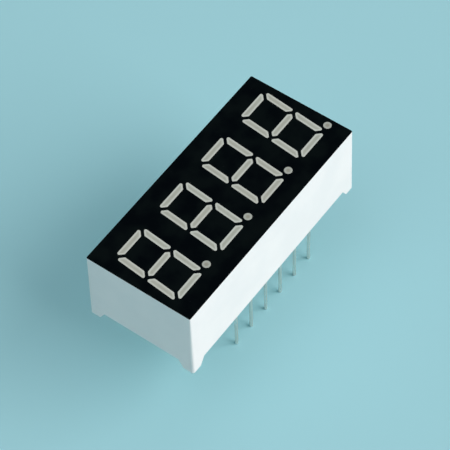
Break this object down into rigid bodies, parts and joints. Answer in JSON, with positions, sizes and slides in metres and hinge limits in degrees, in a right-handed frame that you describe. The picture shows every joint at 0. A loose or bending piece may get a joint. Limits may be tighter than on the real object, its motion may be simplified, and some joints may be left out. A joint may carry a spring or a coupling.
{
  "type": "seven segment display module",
  "caption": "Rectangular numeric display module with a black face, slanted segments and decimal points, corner feet and rows of straight round pins at the back.",
  "frame": {"origin": "centre of the pin pattern on the seating plane, level with the underside of the four corner feet; the middle of the body lies 1.27 mm to -X of it", "axes": "+X along the body in the reading direction, +Y towards the tops of the digits, +Z out of the viewing face, away from the pins"},
  "size_m": [0.0275, 0.0126, 0.016],
  "materials": {
    "housing_white": "satin moulded white polycarbonate",
    "face_ink": "matt black printed ink",
    "segment_epoxy": "milky diffused epoxy, unlit",
    "dot_epoxy": "milky diffused epoxy, unlit",
    "board_laminate": "solder mask over glass laminate",
    "potting_epoxy": "cast epoxy, slightly yellow",
    "solder": "bright solder",
    "led_die": "semiconductor die with a metal pad",
    "bond_wire": "drawn gold",
    "tinned_pin": "tinned, satin"
  },
  "bodies": {
    "root": {"housing": "housing_white", "face_mask": "face_ink", "circuit_board": "board_laminate", "back_potting": "potting_epoxy", "solder_joints": "solder", "digit_1_segment_a": "segment_epoxy", "digit_1_segment_b": "segment_epoxy", "digit_1_segment_c": "segment_epoxy", "digit_1_segment_d": "segment_epoxy", "digit_1_segment_e": "segment_epoxy", "digit_1_segment_f": "segment_epoxy", "digit_1_segment_g": "segment_epoxy", "digit_2_segment_a": "segment_epoxy", "digit_2_segment_b": "segment_epoxy", "digit_2_segment_c": "segment_epoxy", "digit_2_segment_d": "segment_epoxy", "digit_2_segment_e": "segment_epoxy", "digit_2_segment_f": "segment_epoxy", "digit_2_segment_g": "segment_epoxy", "digit_3_segment_a": "segment_epoxy", "digit_3_segment_b": "segment_epoxy", "digit_3_segment_c": "segment_epoxy", "digit_3_segment_d": "segment_epoxy", "digit_3_segment_e": "segment_epoxy", "digit_3_segment_f": "segment_epoxy", "digit_3_segment_g": "segment_epoxy", "digit_4_segment_a": "segment_epoxy", "digit_4_segment_b": "segment_epoxy", "digit_4_segment_c": "segment_epoxy", "digit_4_segment_d": "segment_epoxy", "digit_4_segment_e": "segment_epoxy", "digit_4_segment_f": "segment_epoxy", "digit_4_segment_g": "segment_epoxy", "digit_1_decimal_point": "dot_epoxy", "digit_2_decimal_point": "dot_epoxy", "digit_3_decimal_point": "dot_epoxy", "digit_4_decimal_point": "dot_epoxy", "digit_1_led_chips": "led_die", "digit_2_led_chips": "led_die", "digit_3_led_chips": "led_die", "digit_4_led_chips": "led_die", "digit_1_bond_wires": "bond_wire", "digit_2_bond_wires": "bond_wire", "digit_3_bond_wires": "bond_wire", "digit_4_bond_wires": "bond_wire", "pin_1": "tinned_pin", "pin_2": "tinned_pin", "pin_3": "tinned_pin", "pin_4": "tinned_pin", "pin_5": "tinned_pin", "pin_6": "tinned_pin", "pin_7": "tinned_pin", "pin_8": "tinned_pin", "pin_9": "tinned_pin", "pin_10": "tinned_pin", "pin_11": "tinned_pin", "pin_12": "tinned_pin"}
  },
  "joints": []
}
